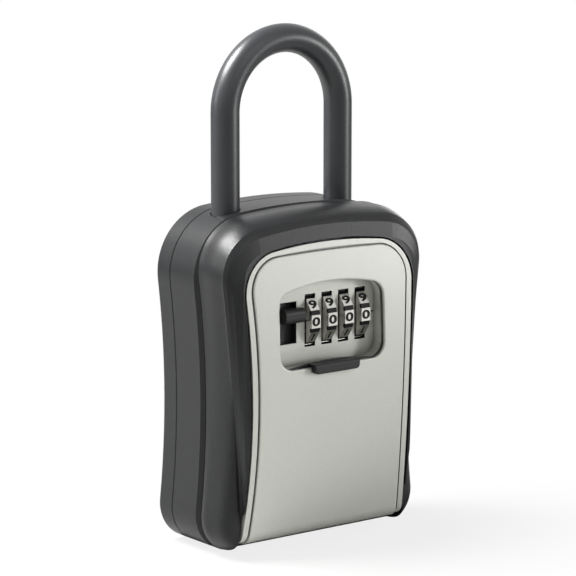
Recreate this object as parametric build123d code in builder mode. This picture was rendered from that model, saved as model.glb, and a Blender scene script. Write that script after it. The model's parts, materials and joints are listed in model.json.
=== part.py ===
from build123d import *
from math import sqrt
import os

os.makedirs("parts", exist_ok=True)

# Portable key safe, in millimetres. X runs across it, -Y is the front, +Z is up, and it
# stands on Z = 0. The origin is below the middle of its overall box.

# Case seen from the front: waisted sides, an arched top and round corners
case_height = 119.3
waist_half = 40.5
waist_height = 54.0
side_radius = 340.0
crown_radius = 250.0
shoulder_radius = 22.0
bulge_shoulder_radius = 18.0
foot_radius = 14.0
foot_front_radius = 6.0
wall = 3.0

# Case seen from the side
case_depth = 45.2
tab_reach = 2.6
cover_depth = 8.4
rear_wall = 2.6
rear_edge_radius = 1.3
groove_depth = 1.3
groove_land = 0.15
groove_from_rear = 24.0
flare_depth = 2.2
bulge_fullness = 2.8
head_fullness = 1.0
foot_fullness = 0.5
seam_chamfer = 0.35
front_radius = 312.0
front_apex = 64.0

# Door seen from the front
door_top = 108.4
door_waist_half = 33.9
door_waist_height = 46.0
door_side_radius = 570.0
door_crown_radius = 184.0
door_corner_radius = 14.5
door_gap = 0.9
rim_width = 2.1
rim_groove = 0.7
cover_round = 0.5
window_round = 0.5
cover_proud = 0.5
cover_thickness = 1.5
cover_seat_gap = 0.1
sill_height = 8.0

# Hinge at the foot of the door, inside its rolled edge
roll_radius = 4.8
hinge_height = 10.3
pin_radius = 1.5
pin_bite = 2.2
running_gap = 0.06
roll_gap = 0.6
door_opening_angle = 85.0

# Door tray
tray_half = 32.0
tray_top = 103.8
tray_wall = 2.0
tray_depth = 15.0
web_skin = 4.2
back_plate_thickness = 1.5
tray_corner_radius = 9.0
tray_floor = 15.5
sill_rear_y = 1.3
sill_tip_y = -8.6
sill_tip_z = 3.4

# Dial window, its recess and its shutter
window_half = 22.7
window_bottom = 65.8
window_top = 94.9
window_crown_radius = 80.0
window_corner_radius = 5.4
recess_depth = 6.2
bezel_thickness = 1.7
flange_thickness = 1.0
flange_overlap = 3.0
shutter_skin = 0.9
shutter_gap = 0.3
shutter_thickness = 0.8
shutter_half = 25.0
shutter_show = 1.7
shutter_height = 30.5
shutter_crown_radius = 105.0
shutter_travel = 27.0
tab_half = 9.8
tab_height = 3.4
tab_corner = 1.6
tab_round = 0.6
neck_height = 0.9

# Number dials and their hubs
dial_count = 4
dial_pitch = 7.28
dial_group_x = 5.62
dial_height = 80.9
dial_thickness = 3.9
dial_core_radius = 9.2
pad_radius = 9.85
pad_width = 4.6
pad_count = 10
dial_slot_gap = 0.35
hub_radius = 4.6
hub_thickness = 2.8
gate_width = 2.6
gate_depth = 1.6
shaft_radius = 2.0
cheek_thickness = 2.0

# Release lever, latch plate and keeper
lever_slot_left = -18.2
lever_slot_right = -11.1
lever_slot_bottom = 73.5
lever_slot_top = 88.2
lever_gap = 0.3
knob_bottom = 81.0
knob_height = 5.0
knob_reach = 3.4
knob_over = 1.5
knob_clear = 0.3
latch_up = 2.0
latch_down = 5.2
latch_thickness = 2.0
nose_half = 7.0
nose_gap = 0.3
keeper_lip = 2.2
keeper_half = 11.0
keeper_thickness = 1.6
keeper_over_tray = 2.4
keeper_clearance = 0.3
keeper_sink = 1.9
spring_radius = 2.2
spring_wire = 0.6
spring_length = 9.6
spring_turns = 5

# Shackle and its lock
shackle_rise = 61.9
shackle_steel_radius = 4.0
sleeve_thickness = 1.0
sleeve_bond = 0.03
leg_half = 24.45
shackle_from_rear = 15.6
leg_gap = 0.3
long_leg_drop = 60.5
short_leg_drop = 26.0
stop_pin_radius = 1.2
stop_pin_half = 5.5
stop_pin_height = 3.2
sleeve_drop = 6.0
housing_drop = 31.0
housing_gap = 0.3
bush_thickness = 1.4
bush_length = 6.0
bush_drop = 14.0
notch_depth = 3.2
lock_travel = 2.2
lock_drop = 21.0
lock_thickness = 2.4
lock_width = 6.0
lock_gap = 0.3
lock_half = 29.5
well_half = 15.0
button_x = 8.0
button_width = 10.0
button_thickness = 3.0
button_drop = 17.0
button_rib_pitch = 1.4
button_rib_count = 4

# Screws
screw_radius = 1.4
screw_head_radius = 2.6
screw_head_height = 1.6
sunk_head_radius = 2.5
boss_radius = 3.8
thread_gap = 0.05
cover_screw_x = 34.5
cover_screw_low = 11.0
cover_screw_drop = 37.0
door_screw_x = 27.0
door_screw_low = 20.5
door_screw_high = 97.5
housing_screw_x = 12.0
housing_screw_drop = 11.0
keeper_screw_x = 8.2
keeper_screw_y = -4.9
keeper_screw_bite = 3.5
post_clearance = 0.8

# Small parts of the lock
bezel_gap = 0.05
relief_floor = 1.3
index_width = 0.5
index_depth = 0.25
cheek_gap = 0.8
cheek_round = 3.3
carriage_gap = 2.6
leaf_thickness = 0.4
leaf_width = 7.0
tongue_width = 2.4
tongue_half = 3.0
pad_height = 1.2
fence_gap = 0.3
bar_height = 2.6
tooth_width = 2.0
plate_foot_z = 62.0
nose_bevel = 0.8
shield_overlap = 1.2
shield_gap = 0.15
shield_thickness = 1.2
shield_lap = 0.5
knob_round = 1.7
shelf_thickness = 2.4
spring_x = -15.3
change_x = 5.0
change_z = 50.0
change_stem = 3.0
change_travel = 3.0
change_slot_height = 5.0
change_reach = 1.8
change_foot = 1.0
slide_gap = 0.15

# Planes and lines that the pieces share
rear_y = (case_depth + tab_reach) / 2
seam_y = rear_y - cover_depth
groove_y = rear_y - groove_from_rear
crest_y = groove_y - flare_depth
ring_y = groove_y - 1.0
cover_front_y = rear_y - case_depth
rim_front_y = cover_front_y + cover_proud
curve_y = rim_front_y + front_radius
hinge_y = curve_y - sqrt((front_radius - roll_radius) ** 2 - (front_apex - hinge_height) ** 2)
tangent_z = hinge_height - roll_radius * (front_apex - hinge_height) / (front_radius - roll_radius)


def front_y(z, level=0.0):
    # depth of the door's curved front at height z, level mm outside its rim
    return curve_y - sqrt((front_radius + level) ** 2 - (z - front_apex) ** 2)


floor_y = front_y(dial_height, cover_proud) + recess_depth
web_rear_y = floor_y + bezel_thickness
tray_rear_y = web_rear_y + tray_depth
shutter_front = cover_proud - shutter_skin - shutter_gap
shutter_back = shutter_front - shutter_thickness
pad_reach = sqrt(pad_radius ** 2 + (pad_width / 2) ** 2)
dial_y = front_y(dial_height, shutter_back) + shutter_gap + pad_reach
latch_front_y = dial_y - latch_thickness / 2
latch_rear_y = dial_y + latch_thickness / 2
shackle_y = rear_y - shackle_from_rear
housing_bottom = case_height - housing_drop
bush_bottom = case_height - bush_drop
lock_height = case_height - lock_drop
button_bottom = lock_height - button_drop
sleeve_seat = case_height - sleeve_drop
long_leg_bottom = case_height - long_leg_drop
short_leg_bottom = case_height - short_leg_drop
shackle_top = case_height + shackle_rise
sleeve_radius = shackle_steel_radius + sleeve_thickness
dial_centres = [dial_group_x + dial_pitch * (n - (dial_count - 1) / 2) for n in range(dial_count)]


def at_y(y):
    # upright sketch plane at depth y: its x is X, its y is Z, and it faces the front
    return Plane.XZ.offset(-y)


def case_half(z):
    return waist_half + side_radius - sqrt(side_radius ** 2 - (z - waist_height) ** 2)


def door_half(z):
    return door_waist_half + door_side_radius - sqrt(door_side_radius ** 2 - (z - door_waist_height) ** 2)


def barrel(y, half, low, high, crown, top_round, foot_round, grow=0.0):
    # waisted outline at depth y, grown by grow: half(z) gives its side, crown rounds its top
    edge = half(high)
    corner = high - crown + sqrt(crown ** 2 - edge ** 2)
    floor = low - grow
    middle = (floor + corner) / 2
    sides = {z: half(z) + grow for z in (floor, middle, corner)}
    with BuildSketch(at_y(y), mode=Mode.PRIVATE) as outline:
        with BuildLine():
            ThreePointArc((-sides[corner], corner), (0, high + grow), (sides[corner], corner))
            ThreePointArc((sides[corner], corner), (sides[middle], middle), (sides[floor], floor))
            Line((sides[floor], floor), (-sides[floor], floor))
            ThreePointArc((-sides[floor], floor), (-sides[middle], middle), (-sides[corner], corner))
        make_face()
        fillet(outline.vertices().group_by(Axis.Y)[-1], top_round + grow)
        if foot_round > 0:
            fillet(outline.vertices().group_by(Axis.Y)[0], foot_round + grow)
    return outline.sketch


def case_outline(y, grow=0.0):
    return barrel(y, case_half, 0, case_height, crown_radius, shoulder_radius, foot_radius, grow)


def ease(y, front, fullness=0.0):
    # share of the bevel that is left at depth y: 1 at its crest, 0 where it meets the door;
    # a quarter ellipse, or a squarer curve with some fullness
    t = min((crest_y - y) / (crest_y - front), 1.0)
    power = 2 + fullness
    return (1 - t ** power) ** (1 / power)


def bevel_outline(y):
    # outline of the front bulge at depth y: elliptical at the waist, fuller at head and foot
    top_share = ease(y, front_y(door_top), head_fullness)
    foot_share = ease(y, front_y(sill_height), foot_fullness)
    top = door_top + (case_height - door_top) * top_share
    low = sill_height * (1 - foot_share)

    def half(z):
        fullness = bulge_fullness * (z / waist_height - 1) ** 2
        return door_half(z) + (case_half(z) - door_half(z)) * ease(y, front_y(z), fullness)

    top_round = door_corner_radius + (bulge_shoulder_radius - door_corner_radius) * top_share ** 2
    foot_round = foot_front_radius + (foot_radius - foot_front_radius) * foot_share
    return barrel(y, half, low, top, crown_radius, top_round, foot_round)


def door_outline(y, grow=0.0):
    # outline of the door's seam, open at its foot, where the door rolls under the case
    return barrel(y, door_half, -door_corner_radius, door_top, door_crown_radius, door_corner_radius, 0, grow)


def window_outline(y, grow=0.0):
    half, edge = window_half, window_top - window_crown_radius
    corner = edge + sqrt(window_crown_radius ** 2 - half ** 2)
    with BuildSketch(at_y(y), mode=Mode.PRIVATE) as outline:
        with BuildLine():
            ThreePointArc((-half, corner), (0, window_top), (half, corner))
            Polyline((half, corner), (half, window_bottom), (-half, window_bottom), (-half, corner))
        make_face()
        fillet(outline.vertices(), window_corner_radius)
        if grow:
            offset(amount=grow)
    return outline.sketch


def front_slab(level, rear, high):
    # side view of all that lies behind the curved front and inside its rolled foot
    deep = 60.0
    with BuildSketch(Plane.YZ, mode=Mode.PRIVATE) as profile:
        with Locations((curve_y, front_apex)):
            Circle(front_radius + level)
        with Locations((rear - deep / 2, (tangent_z + high) / 2)):
            Rectangle(deep, high - tangent_z, mode=Mode.INTERSECT)
        with Locations((hinge_y, hinge_height)):
            Circle(roll_radius + level)
    return profile.sketch


def front_layer(outer, inner, low, high):
    # side view of a layer that follows the curved front between two heights
    deep = 60.0
    with BuildSketch(Plane.YZ, mode=Mode.PRIVATE) as profile:
        with Locations((curve_y, front_apex)):
            Circle(front_radius + outer)
            Circle(front_radius + inner, mode=Mode.SUBTRACT)
        with Locations((rim_front_y, (low + high) / 2)):
            Rectangle(deep, high - low, mode=Mode.INTERSECT)
    return profile.sketch


def screw(x, z, head_y, tip_y):
    # round-head screw along Y, from the top of its head to its tip, with a hexagon socket
    with BuildPart(mode=Mode.PRIVATE) as fastener:
        with BuildSketch(at_y(head_y)):
            with Locations((x, z)):
                Circle(screw_head_radius)
        extrude(amount=-screw_head_height)
        chamfer(fastener.faces().sort_by(Axis.Y)[0].edges(), screw_head_height / 3)
        with BuildSketch(at_y(head_y + screw_head_height / 2)):
            with Locations((x, z)):
                Circle(screw_radius)
        extrude(amount=head_y - tip_y + screw_head_height / 2)
        with BuildSketch(at_y(head_y)):
            with Locations((x, z)):
                RegularPolygon(screw_head_radius / 2, 6)
        extrude(amount=-screw_head_height / 2, mode=Mode.SUBTRACT)
    return fastener.part


def sunk_screw(x, z, head_y, tip_y):
    # flush screw along -Y, with a cone below its head and a cross recess
    sink = sunk_head_radius - screw_radius
    with BuildPart(mode=Mode.PRIVATE) as fastener:
        with BuildSketch(at_y(head_y)):
            with Locations((x, z)):
                Circle(sunk_head_radius)
        extrude(amount=sink, taper=45)
        with BuildSketch(at_y(head_y - sink / 2)):
            with Locations((x, z)):
                Circle(screw_radius)
        extrude(amount=head_y - tip_y - sink / 2)
        with BuildSketch(at_y(head_y)):
            with Locations((x, z)):
                Rectangle(2 * screw_radius, screw_radius / 3)
                Rectangle(screw_radius / 3, 2 * screw_radius)
        extrude(amount=sink / 2, mode=Mode.SUBTRACT)
    return fastener.part


cover_screw_high = case_height - cover_screw_drop
cover_screw_places = [(s * cover_screw_x, z) for s in (-1, 1) for z in (cover_screw_low, cover_screw_high)]
door_screw_places = [(s * door_screw_x, z) for s in (-1, 1) for z in (door_screw_low, door_screw_high)]
housing_screw_z = case_height - housing_screw_drop
housing_screw_places = [(-housing_screw_x, housing_screw_z), (housing_screw_x, housing_screw_z)]
leg_places = [(-leg_half, shackle_y), (leg_half, shackle_y)]
back_plate_rear_y = tray_rear_y + back_plate_thickness
cover_inner_y = rear_y - rear_wall
lock_front_y = shackle_y + shackle_steel_radius + lock_gap
lock_rear_y = lock_front_y + lock_width
stop_pin_z = long_leg_bottom + stop_pin_height
spring_foot_z = plate_foot_z - spring_length - 0.2
post_y = back_plate_rear_y + post_clearance
housing_front_y = shackle_y - shackle_steel_radius + 0.1
housing_rear_y = cover_inner_y - housing_gap
opening_half = door_half(hinge_height) + door_gap
keeper_bottom = tray_top + keeper_over_tray
nose_top = keeper_bottom - nose_gap
keeper_rear_y = latch_front_y - keeper_clearance
keeper_front_y = keeper_rear_y - keeper_lip
keeper_top = door_top + door_gap + keeper_sink

# Sill that wraps the door's rolled foot, rounded at its ends as the case is
with BuildPart() as foot_sill:
    with BuildSketch(Plane.YZ) as sill:
        with BuildLine():
            Polyline((sill_rear_y, 0), (sill_tip_y, sill_tip_z), (sill_tip_y, hinge_height - roll_radius),
                     (hinge_y + roll_radius + 2 * roll_gap, hinge_height - roll_radius / 2),
                     (ring_y - wall / 2, wall), (sill_rear_y, wall), close=True)
        make_face()
        with Locations((hinge_y, hinge_height)):
            Circle(roll_radius + cover_proud + roll_gap, mode=Mode.SUBTRACT)
    extrude(amount=opening_half + 0.5, both=True)
    extrude(case_outline(seam_y), amount=case_depth, mode=Mode.INTERSECT)

# Case body: side band, groove and front bulge, hollow behind and open for the door
bulge_depth = crest_y - rim_front_y
rear_bevels = [bevel_outline(crest_y - bulge_depth * t) for t in (0, 0.3, 0.5, 0.62, 0.7)]
front_bevels = [bevel_outline(crest_y - bulge_depth * t) for t in (0.7, 0.76, 0.8, 0.84, 0.9, 0.95, 0.985)]
with BuildPart() as case_body:
    extrude(case_outline(seam_y), amount=seam_y - groove_y)
    chamfer(case_body.faces().sort_by(Axis.Y)[0].outer_wire().edges(), groove_depth)
    chamfer(case_body.faces().sort_by(Axis.Y)[-1].outer_wire().edges(), seam_chamfer)
    loft([case_outline(groove_y, -groove_depth - groove_land), bevel_outline(crest_y)], ruled=True)
    loft(rear_bevels)
    loft(front_bevels, ruled=True)
    # nothing stands in front of the door's curve
    with BuildSketch(Plane.YZ) as front_curve:
        with Locations((curve_y, front_apex)):
            Circle(front_radius)
    extrude(amount=case_height, both=True, mode=Mode.INTERSECT)
    # hollow of the band and the opening that the door fills
    extrude(case_outline(seam_y, -wall), amount=seam_y - ring_y, mode=Mode.SUBTRACT)
    extrude(door_outline(ring_y, door_gap), amount=case_depth, mode=Mode.SUBTRACT)
    add(foot_sill.part)
    # bores for the ends of the hinge pin
    with BuildSketch(Plane.YZ) as pin_bore:
        with Locations((hinge_y, hinge_height)):
            Circle(pin_radius + thread_gap)
    extrude(amount=opening_half + pin_bite, both=True, mode=Mode.SUBTRACT)
    # holes for the shackle's two legs
    with BuildSketch(Plane.XY.offset(case_height + 1)) as leg_holes:
        with Locations(*leg_places):
            Circle(sleeve_radius + leg_gap)
    extrude(amount=-(case_height - housing_bottom), mode=Mode.SUBTRACT)
    # pocket of the keeper plate
    with BuildSketch(at_y(ring_y)) as keeper_pocket:
        with Locations((0, keeper_top - keeper_thickness)):
            Rectangle(2 * (keeper_half + 0.2), 2 * keeper_thickness)
    extrude(amount=ring_y - keeper_front_y + 0.2, mode=Mode.SUBTRACT)
    with BuildSketch(Plane.XY.offset(keeper_top)) as keeper_pilots:
        with Locations((-keeper_screw_x, keeper_screw_y), (keeper_screw_x, keeper_screw_y)):
            Circle(screw_radius + thread_gap)
    extrude(amount=keeper_screw_bite, mode=Mode.SUBTRACT)
    # posts for the screws of the back cover
    with BuildSketch(at_y(post_y)) as posts:
        for x, z in cover_screw_places:
            with Locations((x + (wall / 4 if x > 0 else -wall / 4), z)):
                Rectangle(2 * boss_radius + wall / 2, 2 * boss_radius)
    extrude(amount=post_y - seam_y)
    with BuildSketch(at_y(post_y)) as post_bores:
        with Locations(*cover_screw_places):
            Circle(screw_radius + thread_gap)
    extrude(amount=post_y - seam_y, mode=Mode.SUBTRACT)
    with BuildSketch(at_y(post_y)) as post_heads:
        with Locations(*cover_screw_places):
            Circle(screw_head_radius + 0.2)
    extrude(amount=-screw_head_height - 0.2, mode=Mode.SUBTRACT)
case_body.part.label = "case_body"

# Back cover: shallow tray with a rounded rear edge
with BuildPart() as back_cover:
    extrude(case_outline(rear_y), amount=cover_depth)
    fillet(back_cover.faces().sort_by(Axis.Y)[-1].outer_wire().edges(), rear_edge_radius)
    chamfer(back_cover.faces().sort_by(Axis.Y)[0].outer_wire().edges(), seam_chamfer)
    extrude(case_outline(cover_inner_y, -wall), amount=cover_inner_y - seam_y, mode=Mode.SUBTRACT)
    with BuildSketch(at_y(seam_y)) as cover_bosses:
        with Locations(*cover_screw_places):
            Circle(boss_radius)
    extrude(amount=seam_y - cover_inner_y)
    with BuildSketch(at_y(seam_y)) as cover_pilots:
        with Locations(*cover_screw_places):
            Circle(screw_radius + thread_gap)
    extrude(amount=seam_y - cover_inner_y, mode=Mode.SUBTRACT)
    with BuildSketch(at_y(cover_inner_y)) as housing_pilots:
        with Locations(*housing_screw_places):
            Circle(screw_radius + thread_gap)
    extrude(amount=-rear_wall * 0.7, mode=Mode.SUBTRACT)
back_cover.part.label = "back_cover"

# Housing in the head of the case: it guides the shackle's legs and the lock plate
housing_head_y = housing_front_y + screw_head_height + 0.2
with BuildPart() as shackle_housing:
    extrude(case_outline(housing_rear_y, -wall - housing_gap), amount=housing_rear_y - housing_front_y)
    with BuildSketch(Plane.XY.offset(housing_bottom)) as below:
        Rectangle(3 * case_height, 3 * case_height)
    extrude(amount=-case_height, mode=Mode.SUBTRACT)
    with BuildSketch(Plane.XY.offset(housing_bottom)) as leg_bores:
        with Locations(*leg_places):
            Circle(shackle_steel_radius + leg_gap)
    extrude(amount=case_height, mode=Mode.SUBTRACT)
    with BuildSketch(Plane.XY.offset(bush_bottom)) as bush_bores:
        with Locations(*leg_places):
            Circle(shackle_steel_radius + bush_thickness + thread_gap)
    extrude(amount=case_height, mode=Mode.SUBTRACT)
    # slot of the lock plate, and the well that its button hangs in
    with BuildSketch(Plane.XY.offset(lock_height - lock_gap)) as lock_slot:
        with Locations((0, (lock_front_y - lock_travel + lock_rear_y) / 2)):
            Rectangle(2 * (lock_half + lock_gap), lock_width + lock_travel + 2 * lock_gap)
    extrude(amount=lock_thickness + 2 * lock_gap, mode=Mode.SUBTRACT)
    with BuildSketch(Plane.XY.offset(housing_bottom)) as button_well:
        with Locations((0, (housing_front_y + housing_rear_y) / 2)):
            RectangleRounded(2 * well_half, housing_rear_y - housing_front_y - 2 * wall, wall)
    extrude(amount=lock_height - housing_bottom, mode=Mode.SUBTRACT)
    with BuildSketch(at_y(housing_front_y)) as housing_bores:
        with Locations(*housing_screw_places):
            Circle(screw_radius + thread_gap)
    extrude(amount=housing_front_y - housing_rear_y, mode=Mode.SUBTRACT)
    with BuildSketch(at_y(housing_front_y)) as housing_heads:
        with Locations(*housing_screw_places):
            Circle(screw_head_radius + 0.2)
    extrude(amount=-screw_head_height - 0.2, mode=Mode.SUBTRACT)
shackle_housing.part.label = "shackle_housing"

bushes = {}
for name, (x, y) in zip(("shackle_bush_left", "shackle_bush_right"), leg_places):
    with BuildPart() as bush:
        with BuildSketch(Plane.XY.offset(bush_bottom)):
            with Locations((x, y)):
                Circle(shackle_steel_radius + bush_thickness)
                Circle(shackle_steel_radius + running_gap, mode=Mode.SUBTRACT)
        extrude(amount=bush_length)
    bushes[name] = bush.part

# Keeper plate: the lip that the door's latch nose catches behind
with BuildPart() as keeper_plate:
    with BuildSketch(Plane.YZ) as keeper_section:
        with BuildLine():
            Polyline((keeper_front_y, keeper_top), (ring_y, keeper_top),
                     (ring_y, keeper_top - keeper_thickness),
                     (keeper_rear_y, keeper_top - keeper_thickness),
                     (keeper_rear_y, keeper_bottom), (keeper_front_y, keeper_bottom), close=True)
        make_face()
    extrude(amount=keeper_half, both=True)
    with BuildSketch(Plane.XY.offset(keeper_top)) as keeper_holes:
        with Locations((-keeper_screw_x, keeper_screw_y), (keeper_screw_x, keeper_screw_y)):
            Circle(screw_radius + thread_gap)
    extrude(amount=-keeper_thickness, mode=Mode.SUBTRACT)
keeper_plate.part.label = "keeper_plate"

keeper_screws = {}
for n, x in enumerate((-keeper_screw_x, keeper_screw_x), 1):
    with BuildPart() as keeper_screw:
        with BuildSketch(Plane.XY.offset(keeper_top - keeper_thickness)):
            with Locations((x, keeper_screw_y)):
                Circle(screw_head_radius)
        extrude(amount=-screw_head_height)
        with BuildSketch(Plane.XY.offset(keeper_top - keeper_thickness)):
            with Locations((x, keeper_screw_y)):
                Circle(screw_radius)
        extrude(amount=keeper_thickness + keeper_screw_bite - 0.2)
    keeper_screws[f"keeper_screw_{n}"] = keeper_screw.part

with BuildPart() as hinge_pin:
    with BuildSketch(Plane.YZ):
        with Locations((hinge_y, hinge_height)):
            Circle(pin_radius)
    extrude(amount=opening_half + pin_bite - 0.2, both=True)
    chamfer(hinge_pin.edges(), pin_radius / 5)
hinge_pin.part.label = "hinge_pin"

cover_screws = {f"cover_screw_{n}": screw(x, z, post_y + 0.1, cover_inner_y - 0.3)
                for n, (x, z) in enumerate(cover_screw_places, 1)}
housing_screws = {f"housing_screw_{n}": screw(x, z, housing_front_y + 0.1, cover_inner_y + rear_wall * 0.6)
                  for n, (x, z) in enumerate(housing_screw_places, 1)}

# Shackle: a steel bow in a moulded sleeve, one leg longer and kept by a cross pin
arch_z = shackle_top - sleeve_radius - leg_half
with BuildPart() as shackle_bar:
    with BuildLine(at_y(shackle_y)) as bow:
        Line((-leg_half, long_leg_bottom), (-leg_half, arch_z))
        ThreePointArc((-leg_half, arch_z), (0, arch_z + leg_half), (leg_half, arch_z))
        Line((leg_half, arch_z), (leg_half, short_leg_bottom))
    with BuildSketch(Plane.XY.offset(long_leg_bottom)):
        with Locations((-leg_half, shackle_y)):
            Circle(shackle_steel_radius)
    sweep()
    chamfer(shackle_bar.faces().filter_by(Plane.XY).edges(), shackle_steel_radius / 5)
    # notches in the rear of both legs for the lock plate
    with BuildSketch(Plane.XY.offset(lock_height - 2 * lock_gap)) as notches:
        with Locations((0, shackle_y + shackle_steel_radius)):
            Rectangle(4 * leg_half, 2 * notch_depth)
    extrude(amount=lock_thickness + 4 * lock_gap, mode=Mode.SUBTRACT)
    with BuildSketch(Plane.YZ.offset(-leg_half)):
        with Locations((shackle_y, stop_pin_z)):
            Circle(stop_pin_radius + thread_gap)
    extrude(amount=shackle_steel_radius + 1, both=True, mode=Mode.SUBTRACT)
shackle_bar.part.label = "shackle_bar"

with BuildPart() as shackle_sleeve:
    with BuildLine(at_y(shackle_y)) as sleeve_path:
        Line((-leg_half, sleeve_seat), (-leg_half, arch_z))
        ThreePointArc((-leg_half, arch_z), (0, arch_z + leg_half), (leg_half, arch_z))
        Line((leg_half, arch_z), (leg_half, sleeve_seat))
    with BuildSketch(Plane.XY.offset(sleeve_seat)):
        with Locations((-leg_half, shackle_y)):
            Circle(sleeve_radius)
            Circle(shackle_steel_radius + sleeve_bond, mode=Mode.SUBTRACT)
    sweep()
shackle_sleeve.part.label = "shackle_sleeve"

with BuildPart() as shackle_stop_pin:
    with BuildSketch(Plane.YZ.offset(-leg_half)):
        with Locations((shackle_y, stop_pin_z)):
            Circle(stop_pin_radius)
    extrude(amount=stop_pin_half, both=True)
shackle_stop_pin.part.label = "shackle_stop_pin"

# Lock plate behind the legs, drawn back here, and the button that moves it
with BuildPart() as shackle_lock_plate:
    with BuildSketch(Plane.XY.offset(lock_height)):
        with Locations((0, (lock_front_y + lock_rear_y) / 2)):
            RectangleRounded(2 * lock_half, lock_width, 1.0)
    extrude(amount=lock_thickness)
shackle_lock_plate.part.label = "shackle_lock_plate"

with BuildPart() as shackle_release_button:
    with BuildSketch(Plane.XY.offset(button_bottom)):
        with Locations((button_x, (lock_front_y + lock_rear_y) / 2)):
            RectangleRounded(button_width, button_thickness, 0.8)
    extrude(amount=lock_height - button_bottom)
    with BuildSketch(at_y((lock_front_y + lock_rear_y) / 2 - button_thickness / 2)):
        with Locations((button_x, (button_bottom + housing_bottom) / 2)):
            with GridLocations(0, button_rib_pitch, 1, button_rib_count):
                Rectangle(button_width - 1.6, button_rib_pitch / 2)
    extrude(amount=button_rib_pitch / 4)
shackle_release_button.part.label = "shackle_release_button"


# Levels of the layers in the door's front, counted outward from its rim
seat_level = cover_proud - cover_thickness - cover_seat_gap
channel_level = shutter_back - shutter_gap
shutter_top = window_bottom + shutter_show
shutter_low = shutter_top - shutter_height
channel_low = shutter_low - shutter_gap
channel_high = shutter_top + shutter_travel + 2 * shutter_gap
inner_half = tray_half - tray_wall

# Space that the front cover fills, with its rolled foot
with BuildPart() as cover_seat:
    extrude(front_slab(cover_proud + cover_thickness, tray_rear_y, case_height), amount=case_height, both=True)
    extrude(front_slab(seat_level, tray_rear_y, case_height), amount=case_height, both=True,
            mode=Mode.SUBTRACT)
    extrude(door_outline(ring_y, -rim_width), amount=case_depth, both=True, mode=Mode.INTERSECT)

# Door frame: rim, web and tray, with the knuckle of the hinge in its rolled foot
with BuildPart() as door_frame:
    extrude(front_slab(0, web_rear_y, case_height), amount=case_height, both=True)
    extrude(door_outline(ring_y), amount=case_depth, both=True, mode=Mode.INTERSECT)
    with BuildSketch(at_y(web_rear_y - tray_wall)) as tray:
        with Locations((0, (tangent_z + tray_top) / 2)):
            Rectangle(2 * tray_half, tray_top - tangent_z)
        fillet(tray.vertices().group_by(Axis.Y)[-1], tray_corner_radius)
    extrude(amount=-(tray_depth + tray_wall))
    with BuildSketch(at_y(web_rear_y)) as tray_pocket:
        with Locations((0, (tray_floor + tray_top - tray_wall) / 2)):
            Rectangle(2 * inner_half, tray_top - tray_wall - tray_floor)
        fillet(tray_pocket.vertices().group_by(Axis.Y)[-1], tray_corner_radius - tray_wall)
        with Locations(*door_screw_places):
            Circle(boss_radius, mode=Mode.SUBTRACT)
    extrude(amount=-tray_depth, mode=Mode.SUBTRACT)
    # hollow behind the lower front, whose skin follows the curve
    hollow_low, hollow_high = door_screw_low + boss_radius + wall, window_bottom - flange_overlap - wall
    extrude(front_layer(-web_skin, -web_skin - tray_depth, hollow_low, hollow_high),
            amount=inner_half, both=True, mode=Mode.SUBTRACT)
    add(cover_seat.part, mode=Mode.SUBTRACT)
    # channel of the shutter, well of the dials, way out for the latch nose
    extrude(front_layer(cover_proud, channel_level, channel_low, channel_high),
            amount=shutter_half + shutter_gap, both=True, mode=Mode.SUBTRACT)
    extrude(window_outline(web_rear_y), amount=case_depth, mode=Mode.SUBTRACT)
    with BuildSketch(Plane.XY.offset(tray_top + 1)) as nose_slot:
        with Locations((0, dial_y)):
            Rectangle(2 * (nose_half + lever_gap), latch_thickness + 2 * lever_gap)
    extrude(amount=-tray_wall - 2, mode=Mode.SUBTRACT)
    with BuildSketch(at_y(tray_rear_y)) as screw_pilots:
        with Locations(*door_screw_places):
            Circle(screw_radius + thread_gap)
    extrude(amount=tray_depth - wall, mode=Mode.SUBTRACT)
    with BuildSketch(Plane.YZ) as knuckle_bore:
        with Locations((hinge_y, hinge_height)):
            Circle(pin_radius + running_gap)
    extrude(amount=case_height, both=True, mode=Mode.SUBTRACT)
    # shelf that the latch spring stands on
    shelf_root_y = front_y(spring_foot_z, -web_skin) - spring_wire
    with BuildSketch(at_y(shelf_root_y)) as shelf:
        with Locations((spring_x, spring_foot_z - shelf_thickness / 2)):
            Rectangle(4 * spring_radius, shelf_thickness)
    extrude(amount=shelf_root_y - dial_y - 2 * spring_radius)
door_frame.part.label = "door_frame"


def on_front_rim(edge):
    # edges of the front panel where its face turns into its sides and head
    middle = edge.position_at(0.5)
    depth = front_y(max(middle.Z, tangent_z), cover_proud)
    return middle.Z > tangent_z + 0.5 and abs(middle.Y - depth) < 0.05


# Front cover: curved panel with the dial window and a rolled foot
with BuildPart() as front_cover:
    extrude(front_slab(cover_proud, tray_rear_y, case_height), amount=case_height, both=True)
    extrude(front_slab(cover_proud - cover_thickness, tray_rear_y, case_height),
            amount=case_height, both=True, mode=Mode.SUBTRACT)
    extrude(door_outline(ring_y, -rim_width - rim_groove), amount=case_depth, both=True, mode=Mode.INTERSECT)
    with BuildSketch(Plane.YZ) as behind_roll:
        with Locations((hinge_y + roll_radius, hinge_height)):
            Rectangle(2 * roll_radius, roll_radius * 1.4)
    extrude(amount=case_height, both=True, mode=Mode.SUBTRACT)
    # soft edges along the sides, the head and the window
    fillet(front_cover.edges().filter_by(on_front_rim), cover_round)
    extrude(window_outline(web_rear_y), amount=case_depth, mode=Mode.SUBTRACT)
    curved_faces = front_cover.faces().filter_by(GeomType.CYLINDER).sort_by(SortBy.AREA)[-2:]
    fillet(curved_faces.sort_by(Axis.Y)[0].inner_wires()[0].edges(), window_round)
    extrude(front_layer(shutter_front + shutter_gap, seat_level - 1, channel_low, channel_high),
            amount=shutter_half + shutter_gap, both=True, mode=Mode.SUBTRACT)
front_cover.part.label = "front_cover"

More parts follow.
